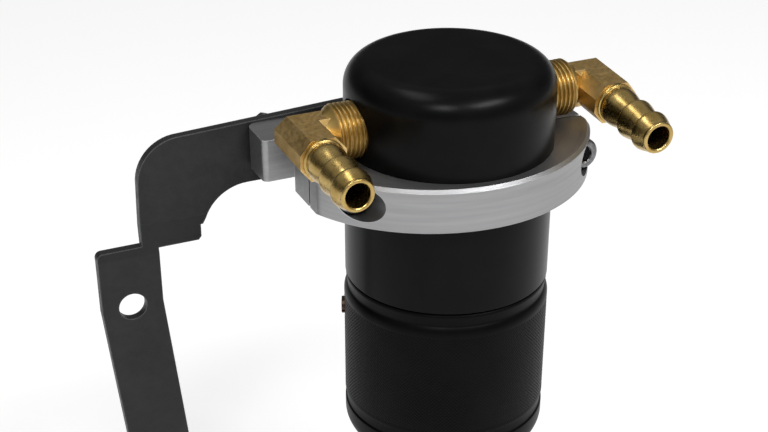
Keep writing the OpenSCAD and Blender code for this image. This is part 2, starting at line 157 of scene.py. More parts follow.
def prism(bm, outline, start, end, place=Matrix()):
    """An outline in X and Y made solid along the local Z axis."""
    low = [bm.verts.new(place @ Vector((x, y, start))) for x, y in outline]
    high = [bm.verts.new(place @ Vector((x, y, end))) for x, y in outline]
    bm.faces.new(list(reversed(low)))
    bm.faces.new(high)
    for i in range(len(outline)):
        k = (i + 1) % len(outline)
        bm.faces.new((low[i], low[k], high[k], high[i]))
    return bm


def hexagon(flats):
    """The corners of a hexagon by its size across the flats."""
    r = flats / 2 / math.cos(math.pi / 6)
    return [(r * math.cos(math.pi * i / 3), r * math.sin(math.pi * i / 3)) for i in range(6)]


def as_object(bm, name="blank"):
    """Makes an object of a shape, with all its faces looking outward."""
    bmesh.ops.recalc_face_normals(bm, faces=bm.faces)
    mesh = bpy.data.meshes.new(name)
    bm.to_mesh(mesh)
    bm.free()
    o = bpy.data.objects.new(name, mesh)
    bpy.context.scene.collection.objects.link(o)
    return o


def joined(bm, tool, operation="DIFFERENCE"):
    """Cuts, joins or intersects two solids and gives the result back."""
    work, cutter = as_object(bm), as_object(tool)
    step = work.modifiers.new("step", "BOOLEAN")
    step.operation = operation
    step.solver = "EXACT"
    step.object = cutter
    graph = bpy.context.evaluated_depsgraph_get()
    mesh = bpy.data.meshes.new_from_object(work.evaluated_get(graph))
    result = bmesh.new()
    result.from_mesh(mesh)
    for o in (work, cutter):
        old = o.data
        bpy.data.objects.remove(o)
        bpy.data.meshes.remove(old)
    bpy.data.meshes.remove(mesh)
    return result


def eased(bm, width, least=32, segments=2, most=181):
    """Breaks the edges sharper than an angle in degrees, as a deburring tool does."""
    bmesh.ops.remove_doubles(bm, verts=bm.verts, dist=1e-3)
    bmesh.ops.dissolve_limit(bm, angle_limit=math.radians(0.4), verts=bm.verts, edges=bm.edges)
    low, high = math.radians(least), math.radians(most)
    sharp = [e for e in bm.edges if len(e.link_faces) == 2 and low < e.calc_face_angle(0) < high]
    bmesh.ops.bevel(bm, geom=sharp, offset=width, segments=segments, profile=0.5,
                    affect="EDGES", clamp_overlap=True)
    return bm


def from_solid(node):
    """A copy of a solid of the frame, in the can's millimetres."""
    bm = bmesh.new()
    bm.from_mesh(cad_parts[node].data)
    bm.transform(FROM_FRAME)
    bmesh.ops.remove_doubles(bm, verts=bm.verts, dist=1e-3)
    return bm


def fit(name, bm, material, body, stands_for=(), sharp=35, even=True):
    """Names a finished shape, gives it its material and puts it on its body."""
    bm.transform(TO_FRAME)
    o = as_object(bm, name)
    o.data.materials.append(material)
    o.data.shade_smooth()
    o.data.set_sharp_from_angle(angle=math.radians(sharp))
    if even:
        shading = o.modifiers.new("even_shading", "WEIGHTED_NORMAL")
        shading.keep_sharp = True
    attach(o, body)
    if stands_for:
        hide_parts(*stands_for)
    return o


# Effects that several materials share

def add(tree, kind, settings=None, **sockets):
    """A node with its settings, and its sockets set or linked. Numbered sockets are s0, s1 and so on."""
    n = tree.nodes.new(kind)
    for key, value in (settings or {}).items():
        setattr(n, key, value)
    for key, value in sockets.items():
        numbered = key[0] == "s" and key[1:].isdigit()
        socket = n.inputs[int(key[1:])] if numbered else n.inputs[key.replace("_", " ")]
        if isinstance(value, bpy.types.NodeSocket):
            tree.links.new(value, socket)
        else:
            socket.default_value = value
    return n


def effect(name, inputs, outputs):
    """An empty node group with named inputs and outputs."""
    tree = bpy.data.node_groups.new(name, "ShaderNodeTree")
    for key, kind, value in inputs:
        socket = tree.interface.new_socket(name=key, in_out="INPUT", socket_type="NodeSocket" + kind)
        socket.default_value = value
    for key, kind in outputs:
        tree.interface.new_socket(name=key, in_out="OUTPUT", socket_type="NodeSocket" + kind)
    return tree, tree.nodes.new("NodeGroupInput").outputs, tree.nodes.new("NodeGroupOutput").inputs


def make_tool_marks():
    """Fine lines left by turning or brushing round an upright axis."""
    tree, given, out = effect("tool_marks", [
        ("Axis", "Vector", AXIS_IN_FRAME), ("Fineness", "Float", 2600),
        ("Length", "Float", 9)], [("Lines", "Float"), ("Bands", "Float")])
    place = add(tree, "ShaderNodeTexCoord").outputs["Object"]
    from_axis = add(tree, "ShaderNodeVectorMath", {"operation": "SUBTRACT"}, s0=place, s1=given["Axis"])
    part = add(tree, "ShaderNodeSeparateXYZ", Vector=from_axis.outputs[0]).outputs
    turn_angle = add(tree, "ShaderNodeMath", {"operation": "ARCTAN2"}, s0=part["Y"], s1=part["X"])
    flat = add(tree, "ShaderNodeCombineXYZ", X=part["X"], Y=part["Y"])
    radius = add(tree, "ShaderNodeVectorMath", {"operation": "LENGTH"}, s0=flat.outputs[0])
    around = add(tree, "ShaderNodeMath", {"operation": "MULTIPLY"},
                 s0=turn_angle.outputs[0], s1=given["Length"])
    outward = add(tree, "ShaderNodeMath", {"operation": "MULTIPLY"},
                  s0=radius.outputs["Value"], s1=given["Fineness"])
    upward = add(tree, "ShaderNodeMath", {"operation": "MULTIPLY"}, s0=part["Z"], s1=given["Fineness"])
    stretched = add(tree, "ShaderNodeCombineXYZ", X=around.outputs[0], Y=outward.outputs[0],
                    Z=upward.outputs[0])
    lines = add(tree, "ShaderNodeTexNoise", Vector=stretched.outputs[0], Scale=1, Detail=5,
                Roughness=0.65)
    bands = add(tree, "ShaderNodeTexNoise", Vector=stretched.outputs[0], Scale=0.12, Detail=2)
    tree.links.new(lines.outputs[0], out["Lines"])
    tree.links.new(bands.outputs[0], out["Bands"])
    return tree


def make_mottle():
    """Soft patches, as in a casting's skin, a coat or an anodised layer."""
    tree, given, out = effect("mottle", [
        ("Size", "Float", 120), ("Low", "Float", 0.35), ("High", "Float", 0.65)], [("Mask", "Float")])
    place = add(tree, "ShaderNodeTexCoord").outputs["Object"]
    noise = add(tree, "ShaderNodeTexNoise", Vector=place, Scale=given["Size"], Detail=5, Roughness=0.6)
    mask = add(tree, "ShaderNodeMapRange", {"interpolation_type": "SMOOTHSTEP"},
               Value=noise.outputs[0], From_Min=given["Low"], From_Max=given["High"])
    tree.links.new(mask.outputs[0], out["Mask"])
    return tree


def make_grain():
    """A fine bumpy grain, as of powder coat, forging scale or blasted metal."""
    tree, given, out = effect("grain", [
        ("Size", "Float", 1800), ("Orange Peel", "Float", 0.5)], [("Height", "Float")])
    place = add(tree, "ShaderNodeTexCoord").outputs["Object"]
    cells = add(tree, "ShaderNodeTexVoronoi", {"feature": "SMOOTH_F1"}, Vector=place,
                Scale=given["Size"], Smoothness=0.8)
    noise = add(tree, "ShaderNodeTexNoise", Vector=place, Scale=given["Size"], Detail=4)
    height = add(tree, "ShaderNodeMix", {"data_type": "FLOAT"}, Factor=given["Orange Peel"],
                 A=noise.outputs[0], B=cells.outputs["Distance"])
    tree.links.new(height.outputs["Result"], out["Height"])
    return tree


def make_worn_and_highlighted_edges():
    """Where an edge is worn and where a highlight is painted along it: the mask grows with the turn of the
    surface nearby.
    """
    tree, given, out = effect("worn_and_highlighted_edges", [
        ("Reach", "Float", 0.0006), ("Breakup", "Float", 0.5)], [("Mask", "Float")])
    rounded = add(tree, "ShaderNodeBevel", {"samples": 6}, Radius=0.0006)
    tree.links.new(given["Reach"], rounded.inputs["Radius"])
    own = add(tree, "ShaderNodeNewGeometry").outputs["Normal"]
    same = add(tree, "ShaderNodeVectorMath", {"operation": "DOT_PRODUCT"}, s0=rounded.outputs[0], s1=own)
    turned = add(tree, "ShaderNodeMapRange", {"interpolation_type": "SMOOTHSTEP"},
                 Value=same.outputs["Value"], From_Min=0.995, From_Max=0.86)
    place = add(tree, "ShaderNodeTexCoord").outputs["Object"]
    noise = add(tree, "ShaderNodeTexNoise", Vector=place, Scale=420, Detail=4)
    patchy = add(tree, "ShaderNodeMapRange", Value=noise.outputs[0], From_Min=0.3, From_Max=0.7)
    patchy_wear_and_highlight = add(tree, "ShaderNodeMath", {"operation": "MULTIPLY"}, s0=turned.outputs[0],
                 s1=patchy.outputs[0])
    mask = add(tree, "ShaderNodeMix", {"data_type": "FLOAT"}, Factor=given["Breakup"],
               A=turned.outputs[0], B=patchy_wear_and_highlight.outputs[0])
    tree.links.new(mask.outputs["Result"], out["Mask"])
    return tree


TOOL_MARKS = make_tool_marks()
MOTTLE = make_mottle()
GRAIN = make_grain()
WORN_AND_HIGHLIGHTED_EDGES = make_worn_and_highlighted_edges()


class Finish:
    """A material round one Principled shader, with short calls for what its surface shows."""

    def __init__(self, name, **sockets):
        self.material = bpy.data.materials.new(name)
        self.material.use_nodes = True
        self.tree = self.material.node_tree
        self.shader = self.tree.nodes["Principled BSDF"]
        self.bumped = None
        for key, value in sockets.items():
            self.shader.inputs[key.replace("_", " ")].default_value = value

    def use(self, group, output, **sockets):
        n = add(self.tree, "ShaderNodeGroup", {"node_tree": group})
        for key, value in sockets.items():
            n.inputs[key.replace("_", " ")].default_value = value
        return n.outputs[output]

    def between(self, mask, low, high):
        return add(self.tree, "ShaderNodeMapRange", Value=mask, To_Min=low, To_Max=high).outputs[0]

    def tint(self, mask, first, second):
        """A colour that goes from the first to the second, or from what is linked so far."""
        base = self.shader.inputs["Base Color"]
        n = add(self.tree, "ShaderNodeMix", {"data_type": "RGBA"}, s0=mask)
        if first is None and base.is_linked:
            self.tree.links.new(base.links[0].from_socket, n.inputs[6])
        else:
            n.inputs[6].default_value = (*(first or base.default_value[:3]), 1)
        n.inputs[7].default_value = (*second, 1)
        self.tree.links.new(n.outputs[2], base)

    def rough(self, mask, low, high):
        self.tree.links.new(self.between(mask, low, high), self.shader.inputs["Roughness"])

    def bump(self, height, strength, distance):
        n = add(self.tree, "ShaderNodeBump", Strength=strength, Distance=distance, Height=height)
        if self.bumped is not None:
            self.tree.links.new(self.bumped, n.inputs["Normal"])
        self.bumped = n.outputs[0]
        self.tree.links.new(self.bumped, self.shader.inputs["Normal"])


def make_black_anodised(name, rough, specular):
    f = Finish(name, Specular_IOR_Level=specular)
    lines = f.use(TOOL_MARKS, "Lines", Fineness=3200, Length=5)
    f.tint(f.use(MOTTLE, "Mask", Size=70), (0.0016, 0.0016, 0.0018), (0.0030, 0.0030, 0.0033))
    f.rough(lines, rough - 0.05, rough + 0.06)
    f.bump(lines, 0.25, 0.00002)
    return f.material


def make_brushed_aluminium(name, axis):
    f = Finish(name, Metallic=1)
    lines = f.use(TOOL_MARKS, "Lines", Axis=axis, Fineness=5200, Length=14)
    f.tint(f.use(TOOL_MARKS, "Bands", Axis=axis, Fineness=5200, Length=10),
           (0.27, 0.27, 0.275), (0.41, 0.41, 0.416))
    # Lighter broken edges: partly wear, partly a painted highlight along the edges.
    f.tint(f.use(WORN_AND_HIGHLIGHTED_EDGES, "Mask", Reach=0.0004, Breakup=0.3), None, (0.74, 0.74, 0.75))
    f.rough(lines, 0.34, 0.58)
    f.bump(lines, 0.5, 0.00006)
    return f.material


def make_powder_coat():
    f = Finish("grey_powder_coat", Specular_IOR_Level=0.28)
    f.tint(f.use(MOTTLE, "Mask", Size=55), (0.014, 0.014, 0.0146), (0.020, 0.020, 0.0207))
    # Pale broken edges: partly worn coat, partly a painted highlight along the edges.
    f.tint(f.use(WORN_AND_HIGHLIGHTED_EDGES, "Mask", Reach=0.0007, Breakup=0.4), None, (0.13, 0.13, 0.133))
    f.rough(f.use(MOTTLE, "Mask", Size=500), 0.40, 0.52)
    f.bump(f.use(GRAIN, "Height", Size=2200, Orange_Peel=0.7), 0.35, 0.00008)
    return f.material


def make_forged_brass():
    f = Finish("forged_brass", Metallic=1)
    f.tint(f.use(MOTTLE, "Mask", Size=210), (0.56, 0.37, 0.13), (0.68, 0.47, 0.19))
    f.tint(f.use(MOTTLE, "Mask", Size=480, Low=0.60, High=0.9), None, (0.44, 0.27, 0.09))
    # Bright broken edges: partly worn brass, partly a painted highlight along the edges.
    f.tint(f.use(WORN_AND_HIGHLIGHTED_EDGES, "Mask", Reach=0.0005, Breakup=0.5), None, (0.80, 0.62, 0.32))
    f.rough(f.use(MOTTLE, "Mask", Size=900), 0.36, 0.50)
    f.bump(f.use(GRAIN, "Height", Size=700, Orange_Peel=0.3), 0.16, 0.00010)
    return f.material


def make_turned_brass(name, dark, light, rough):
    f = Finish(name, Metallic=1)
    f.tint(f.use(MOTTLE, "Mask", Size=260), dark, light)
    # Bright broken edges: partly worn brass, partly a painted highlight along the edges.
    f.tint(f.use(WORN_AND_HIGHLIGHTED_EDGES, "Mask", Reach=0.0003, Breakup=0.3), None, (0.86, 0.70, 0.38))
    f.rough(f.use(MOTTLE, "Mask", Size=1300), rough - 0.05, rough + 0.06)
    f.bump(f.use(GRAIN, "Height", Size=1600, Orange_Peel=0.1), 0.05, 0.00003)
    return f.material


def make_screw_metal(name, dark, light, rough):
    f = Finish(name, Metallic=1)
    f.tint(f.use(MOTTLE, "Mask", Size=700), dark, light)
    # Broken edges nearly twice as light: partly wear, partly a painted highlight along the edges.
    f.tint(f.use(WORN_AND_HIGHLIGHTED_EDGES, "Mask", Reach=0.0003, Breakup=0.6), None, tuple(min(1, 1.9 * c) for c in light))
    f.rough(f.use(MOTTLE, "Mask", Size=1500), rough - 0.07, rough + 0.1)
    f.bump(f.use(GRAIN, "Height", Size=4200, Orange_Peel=0.2), 0.15, 0.00003)
    return f.material


def make_seal_rubber():
    f = Finish("seal_rubber", Specular_IOR_Level=0.4)
    f.tint(f.use(MOTTLE, "Mask", Size=300), (0.008, 0.008, 0.009), (0.016, 0.016, 0.016))
    f.rough(f.use(MOTTLE, "Mask", Size=900), 0.55, 0.75)
    f.bump(f.use(GRAIN, "Height", Size=5200, Orange_Peel=0.2), 0.2, 0.00003)
    return f.material


def make_wire_mesh():
    f = Finish("wire_mesh", Metallic=1)
    strands = f.use(GRAIN, "Height", Size=700, Orange_Peel=1)
    # Light along the strands and near black between them: the dark is painted shade standing for the open
    # gaps of the weave.
    f.tint(strands, (0.55, 0.55, 0.54), (0.10, 0.10, 0.10))
    f.rough(strands, 0.25, 0.6)
    f.bump(strands, 1, 0.0006)
    return f.material


CAN_BLACK = make_black_anodised("black_anodised", 0.30, 0.09)
CUP_BLACK = make_black_anodised("black_anodised_cup", 0.38, 0.06)
RING_FRONT_METAL = make_brushed_aluminium("brushed_aluminium_front", (0.0929, -0.0219, 0))
RING_REAR_METAL = make_brushed_aluminium("brushed_aluminium_rear", (0.0929, -0.5, 0))
PLATE_METAL = make_brushed_aluminium("brushed_aluminium_plate", AXIS_IN_FRAME)
BRACKET_COAT = make_powder_coat()
BLOCK_BRASS = make_forged_brass()
TURNED_BRASS = make_turned_brass("turned_brass", (0.42, 0.285, 0.09), (0.52, 0.37, 0.135), 0.28)
THREAD_BRASS = make_turned_brass("threaded_brass", (0.42, 0.28, 0.085), (0.51, 0.35, 0.12), 0.40)
SCREW_STEEL = make_screw_metal("dark_screw_steel", (0.13, 0.13, 0.135), (0.22, 0.22, 0.225), 0.30)
ZINC_STEEL = make_screw_metal("zinc_plated_steel", (0.42, 0.42, 0.43), (0.60, 0.60, 0.61), 0.30)
LOCK_BRASS = make_screw_metal("lock_screw_brass", (0.06, 0.042, 0.033), (0.11, 0.075, 0.056), 0.42)
SEAL_RUBBER = make_seal_rubber()
WIRE_MESH = make_wire_mesh()

SIDEWAYS = Matrix.Rotation(math.radians(90), 4, "Y")
FORWARDS = Matrix.Rotation(math.radians(90), 4, "X")
BACKWARDS = Matrix.Rotation(math.radians(-90), 4, "X")


# Can

def screw_thread(pitch, depth, start, end):
    """A radius change that cuts a helical thread between two heights, run out at both ends."""
    def shape(radius, height, angle, ring, step):
        if not start < height < end:
            return radius
        phase = (height / pitch - angle / (2 * math.pi)) % 1
        flank = min(1, max(0, (abs(phase - 0.5) * 2 - 0.12) / 0.76))
        run_out = min(1, (height - start) / 0.4, (end - height) / 0.4)
        return radius - depth * (1 - flank) * max(0, run_out)
    return shape


def rows(radius, start, end, count):
    """A straight wall in a half section, split into even rows."""
    return [(radius, start + (end - start) * i / count) for i in range(count + 1)]


def make_upper_body():
    """The can's wall and cap in one, its threaded spigot, its bore and its two ports."""
    outside = (
        softened([(BORE_R + 0.6, SPIGOT_LOW), (SPIGOT_R - 1, SPIGOT_LOW), (SPIGOT_R, SPIGOT_LOW + 1)], 0.15)
        + rows(SPIGOT_R, SPIGOT_LOW + 1.1, SEAL_LOW - 0.2, 110)
        + softened([(SPIGOT_R, SEAL_LOW), (SEAL_FLOOR_R, SEAL_LOW), (SEAL_FLOOR_R, SEAL_TOP),
                    (SPIGOT_R - 0.9, SEAL_TOP), (SPIGOT_R - 0.9, SEAM_Z), (CAN_R - 0.3, SEAM_Z),
                    (CAN_R, SEAM_Z + 0.3), (CAN_R, SEAM_Z + 12)], 0.12)
        + rows(CAN_R, SEAM_Z + 13, CAN_TOP - CAP_ROUND - 0.5, 6)
        + arc((CAN_R - CAP_ROUND, CAN_TOP - CAP_ROUND), CAP_ROUND, 0, 90, 18)
        + [(16, CAN_TOP), (8, CAN_TOP), (0, CAN_TOP)])
    inside = [(0, CAP_UNDERSIDE), (12, CAP_UNDERSIDE), (BORE_R - 1, CAP_UNDERSIDE),
              (BORE_R, CAP_UNDERSIDE - 1), (BORE_R, CIRCLIP_GROOVE_TOP),
              (CIRCLIP_GROOVE_R, CIRCLIP_GROOVE_TOP), (CIRCLIP_GROOVE_R, CIRCLIP_GROOVE_LOW),
              (BORE_R, CIRCLIP_GROOVE_LOW), (BORE_R, SPIGOT_LOW + 0.6)]
    bm = turn(bmesh.new(), outside, 192,
              shape=screw_thread(SPIGOT_PITCH, 1.0, SPIGOT_LOW + 1, SEAL_LOW - 0.1))
    turn(bm, inside + [(BORE_R + 0.6, SPIGOT_LOW)], 192)
    bmesh.ops.remove_doubles(bm, verts=bm.verts, dist=1e-4)
    for side, height in ((1, PORT_RIGHT_Z), (-1, PORT_LEFT_Z)):
        place = Matrix.Translation((0, 0, height)) @ Matrix.Rotation(math.radians(90 * side), 4, "Y")
        pocket = turn(bmesh.new(), [(0, 22), (PORT_R, 22), (PORT_R, PORT_FLAT_X - 0.7),
                                    (PORT_R + 0.7, PORT_FLAT_X), (PORT_FLAT_R, PORT_FLAT_X),
                                    (PORT_FLAT_R, 36), (0, 36)], 96, place)
        bm = joined(bm, pocket)
    fit("upper_body_shell", bm, CAN_BLACK, "mounted_can", ["upper_body"], sharp=28)


def make_cup():
    """The cup, with a diamond knurl of raised points between its shoulder and its groove."""
    below = (softened([(0, 0.9), (9, 0.9), (9.6, 0), (CUP_R - CUP_FOOT_ROUND - 0.2, 0)], 0.4)
             + arc((CUP_R - CUP_FOOT_ROUND, CUP_FOOT_ROUND), CUP_FOOT_ROUND, -90, 0, 14)
             + softened([(CUP_R, 9), (CUP_R, 10.5), (CUP_R - 0.5, 11), (CUP_R - 0.5, 14),
                         (CUP_R, 14.5), (CUP_R, 14.7)], 0.12))
    knurl = rows(CUP_R, KNURL_LOW, KNURL_HIGH, KNURL_ROWS)
    above = (arc((CUP_R - SHOULDER_ROUND, SHOULDER_Z), SHOULDER_ROUND, 0, 42, 10)
             + softened([(31.12, 53.5), (31.1, 53.9), (CAN_R - 0.2, 56.6), (CAN_R - 0.35, 57.2),
                         (CAN_R - 0.9, 57.6), (CUP_THREAD_R + 0.9, 57.6), (CUP_THREAD_R, 56.7),
                         (CUP_THREAD_R, 54)], 0.1)
             + [(CUP_THREAD_R, 37), (CUP_BORE_R, 37), (CUP_BORE_R, 9)]
             + arc((CUP_BORE_R - 4, 9), 4, 0, -90, 8) + [(10, 5), (0, 5)])
    first = len(below)
    last = first + KNURL_ROWS

    def points(radius, height, angle, ring, step):
        if first < ring < last:
            return radius if (ring + step) % 2 else radius - KNURL_DEEP
        return radius

    bm = turn(bmesh.new(), below + knurl + above, KNURL_TEETH, shape=points)
    valley = CUP_R - KNURL_DEEP / 2
    for face in list(bm.faces):
        radii = [math.hypot(v.co.x, v.co.y) for v in face.verts]
        heights = [v.co.z for v in face.verts]
        if len(radii) == 4 and min(heights) > KNURL_LOW and max(heights) < KNURL_HIGH:
            low = [v for v, r in zip(face.verts, radii) if r < valley]
            if len(low) == 2:
                bmesh.utils.face_split(face, low[0], low[1])
    lock = Matrix.Translation((0, 0, LOCK_Z)) @ Matrix.Rotation(LOCK_TURN, 4, "Z") @ SIDEWAYS
    hole = turn(bmesh.new(), [(0, CUP_THREAD_R - 1), (LOCK_R + 0.05, CUP_THREAD_R - 1),
                              (LOCK_R + 0.05, CUP_R - 0.9), (LOCK_R + 0.7, CUP_R - 0.25),
                              (LOCK_R + 0.7, CUP_R + 2), (0, CUP_R + 2)], 64, lock)
    bm = joined(bm, hole)
    fit("cup_shell", bm, CUP_BLACK, "oil_cup", ["cup"], sharp=16, even=False)
    screw = turn(bmesh.new(), softened([(0, 28.7), (LOCK_R - 0.6, 28.7), (LOCK_R, 29.3),
                                        (LOCK_R, CUP_R + 0.9), (0, CUP_R + 0.9)], 0.35), 64, lock)
    slot_cut = prism(bmesh.new(), [(-5, -0.5), (5, -0.5), (5, 0.5), (-5, 0.5)], CUP_R - 0.3,
                     CUP_R + 3, lock @ Matrix.Rotation(math.radians(70), 4, "Z"))
    fit("lock_screw_head", eased(joined(screw, slot_cut), 0.1, 50), LOCK_BRASS, "oil_cup",
        ["lock_screw"])


def make_seal():
    """The seal ring on the spigot, under the can's seam."""
    section = softened([(SEAL_FLOOR_R + 0.1, 56), (SEAL_FLOOR_R + 0.1, 54.97), (SPIGOT_R - 0.02, 54.97),
                        (SPIGOT_R - 0.02, 57.32), (SEAL_FLOOR_R + 0.1, 57.32),
                        (SEAL_FLOOR_R + 0.1, 56.001)], 0.35, 4)
    bm = turn(bmesh.new(), section, 160)
    bmesh.ops.remove_doubles(bm, verts=bm.verts, dist=2e-3)
    fit("cup_seal_ring", bm, SEAL_RUBBER, "seal", ["cup_seal"])


# Elbows

def block_outline(half_w, slope_w, slope_h):
    """The section of a forged leg: a bar with four sloped corners."""
    side = BLOCK_HALF_H - slope_h
    return [(-half_w + slope_w, -BLOCK_HALF_H), (half_w - slope_w, -BLOCK_HALF_H), (half_w, -side),
            (half_w, side), (half_w - slope_w, BLOCK_HALF_H), (-half_w + slope_w, BLOCK_HALF_H),
            (-half_w, side), (-half_w, -side)]


def make_elbow(side, place):
    """A forged elbow: its block, its pipe thread into the can and its barbed hose tail."""
    def leg_along_port(to):
        along = Matrix.Rotation(math.radians(90), 4, "Z") @ FORWARDS
        return prism(bmesh.new(), block_outline(LEG_HALF_W, 1.8, 4), THREAD_END_X + 0.3, to, along)

    def leg_along_tail(start, end):
        along = Matrix.Translation((TAIL_X, 0, 0)) @ FORWARDS
        return prism(bmesh.new(), block_outline(BLOCK_HALF_W, 3.3, 4), start, end, along)

    heel = joined(leg_along_port(TAIL_X + BLOCK_HALF_W), leg_along_tail(-LEG_HALF_W, LEG_HALF_W),
                  "INTERSECT")
    block = joined(leg_along_port(TAIL_X + 0.5), leg_along_tail(-0.4, BLOCK_FRONT), "UNION")
    block = eased(joined(block, heel, "UNION"), 0.55, 20, 3)
    along_port = SIDEWAYS
    along_tail = Matrix.Translation((TAIL_X, 0, 0)) @ FORWARDS
    bore = turn(bmesh.new(), [(0, 30), (PORT_BORE_R, 30), (PORT_BORE_R, TAIL_X + 4), (0, TAIL_X + 4)], 64,
                along_port)
    block = joined(block, bore)
    drill = turn(bmesh.new(), [(0, 0.5), (TAIL_BORE_R, 0.5), (TAIL_BORE_R, 30), (0, 30)], 64, along_tail)
    block = joined(block, drill)
    block.transform(place)
    fit(side + "_elbow_block", block, BLOCK_BRASS, "mounted_can", [side + "_elbow"])

    start, end = 25.8, THREAD_END_X - 0.4
    cut = screw_thread(THREAD_PITCH, 0.85, start, end)

    def tapered(radius, height, angle, ring, step):
        return cut(radius, height, angle, ring, step) if radius > 8 else radius

    section = ([(PORT_BORE_R, THREAD_END_X + 3.4), (PORT_BORE_R, start), (7.7, start)]
               + [(8.42 + 0.017 * (x - start), x) for x in
                  [start + 0.55 + (end - start - 1.1) * i / 150 for i in range(151)]]
               + [(8.25, end), (7.9, end + 0.45), (6.7, THREAD_END_X + 1.2), (5.6, THREAD_END_X + 3.4)])
    thread = turn(bmesh.new(), section, 120, place @ along_port, tapered)
    fit(side + "_elbow_thread", thread, THREAD_BRASS, "mounted_can", sharp=50, even=False)

    root, crest = 4.72, 6.15
    second, third = 26.5, 34.6
    outline = softened([
        (6.3, BLOCK_FRONT - 0.6), (6.3, BLOCK_FRONT + 0.7), (5.7, BLOCK_FRONT + 1.0),
        (5.75, BLOCK_FRONT + 1.5), (6.05, BLOCK_FRONT + 2.5), (6.02, BLOCK_FRONT + 3.8),
        (5.7, BLOCK_FRONT + 5.6), (5.2, BLOCK_FRONT + 7.6), (root + 0.12, second - 1.5),
        (root, second - 0.5), (crest - 0.35, second + 0.1), (crest, second + 0.4),
        (crest, second + 0.9), (crest - 0.22, second + 2.2), (crest - 0.62, second + 4),
        (root + 0.42, second + 6), (root + 0.06, third - 1), (root, third - 0.5),
        (crest - 0.35, third), (crest, third + 0.3), (crest, third + 1), (crest - 0.3, third + 2.2),
        (crest - 0.8, third + 3.7), (root + 0.2, TAIL_END - 0.9), (root + 0.28, TAIL_END - 0.5),
        (root, TAIL_END - 0.05), (root - 0.4, TAIL_END), (TAIL_BORE_R + 0.4, TAIL_END),
        (TAIL_BORE_R, TAIL_END - 0.4), (TAIL_BORE_R, 16)], 0.5, 4)
    tail = turn(bmesh.new(), outline, 128, place @ along_tail)
    fit(side + "_elbow_tail", tail, TURNED_BRASS, "mounted_can", sharp=60)


# Clamp ring, its screws and the bracket

def make_clamp_ring():
    """Both halves of the ring, with their edges broken."""
    for part, metal in (("front", RING_FRONT_METAL), ("rear", RING_REAR_METAL)):
        bm = eased(from_solid("clamp_" + part), 0.22, 32, 2)
        fit("clamp_ring_" + part, bm, metal, "mounted_can", ["clamp_" + part])


def make_socket_screw(side, x):
    """A socket head screw: a knurled head with a hexagon socket, and its shank."""
    place = Matrix.Translation((x, 0, SCREW_Z)) @ FORWARDS

    def knurled(radius, height, angle, ring, step):
        if radius > SCREW_HEAD_R - 0.05 and SEAT_Y + 0.6 < height < SEAT_Y + 5.2:
            return radius - 0.14 * (step % 4 < 2)
        return radius

    profile = [(0, -10.4), (2.4, -10.4), (SCREW_SHANK_R, -9.8), (SCREW_SHANK_R, SEAT_Y - 0.1),
               (SCREW_SHANK_R, SEAT_Y), (SCREW_HEAD_R - 0.2, SEAT_Y), (SCREW_HEAD_R, SEAT_Y + 0.3),
               (SCREW_HEAD_R, SEAT_Y + 0.8), (SCREW_HEAD_R, SEAT_Y + 5), (SCREW_HEAD_R, SEAT_Y + 5.3),
               (4.6, SEAT_Y + 5.8), (4.2, SEAT_Y + 6), (0, SEAT_Y + 6)]
    head = turn(bmesh.new(), profile, 144, place, knurled)
    socket = prism(bmesh.new(), hexagon(SCREW_SOCKET_FLATS), SEAT_Y + 3, SEAT_Y + 8, place)
    rim = turn(bmesh.new(), [(0, SEAT_Y + 5.6), (2.5, SEAT_Y + 5.6), (3.0, SEAT_Y + 6.1), (3, SEAT_Y + 8),
                             (0, SEAT_Y + 8)], 48, place)
    fit("clamp_screw_head_" + side, joined(joined(head, socket), rim), SCREW_STEEL, "mounted_can",
        ["clamp_screw_" + side], sharp=30)


def make_foot_bolt(side, x, twist):
    """A hexagon head bolt with chamfered corners, on its flat washer."""
    place = Matrix.Translation((x, 0, RING_MID_Z)) @ BACKWARDS
    low = PLATE_BACK_Y + WASHER_T
    washer = softened([(3.2, PLATE_BACK_Y), (3.2, low), (WASHER_R, low), (WASHER_R, PLATE_BACK_Y),
                       (3.201, PLATE_BACK_Y)], 0.25)
    bm = turn(bmesh.new(), washer, 96, place)
    bmesh.ops.remove_doubles(bm, verts=bm.verts, dist=2e-3)
    fit("foot_washer_disc_" + side, bm, ZINC_STEEL, "mounted_can", ["foot_washer_" + side])
    high = low + BOLT_HEAD_H
    turned = place @ Matrix.Rotation(math.radians(twist), 4, "Z")
    head = prism(bmesh.new(), hexagon(BOLT_FLATS), low, high, turned)
    corners = turn(bmesh.new(), [(0, low - 1), (5.9, low - 1), (6.9, low + 0.4), (6.9, high - 0.8),
                                 (5.4, high), (5.3, high + 0.02), (4.9, high - 0.25), (0, high - 0.25)], 96,
                   place)
    head = joined(head, corners, "INTERSECT")
    shank = turn(bmesh.new(), [(0, 24.4), (2.5, 24.4), (SCREW_SHANK_R, 25),
                                  (SCREW_SHANK_R, low + 0.5), (0, low + 0.5)], 48,
                 place)
    head = joined(head, shank, "UNION")
    fit("foot_bolt_head_" + side, eased(head, 0.12, 40), SCREW_STEEL, "mounted_can",
        ["foot_bolt_" + side])


def make_bracket():
    """The bent plate: its two shallow bends get a true inside radius and its edges are broken."""
    bm = from_solid("bracket")
    for v in bm.verts:
        if -68 < v.co.x < -66 and 70.1 < v.co.z < 73:
            v.co.x -= 0.74 * min(1, (73 - v.co.z) / 2.7) ** 2
    bmesh.ops.remove_doubles(bm, verts=bm.verts, dist=0.03)
    eased(bm, 2.2, 6, 5, 20)
    eased(bm, 0.4, 50, 3)
    fit("bracket_plate", bm, BRACKET_COAT, "mounted_can", ["bracket"], sharp=25)


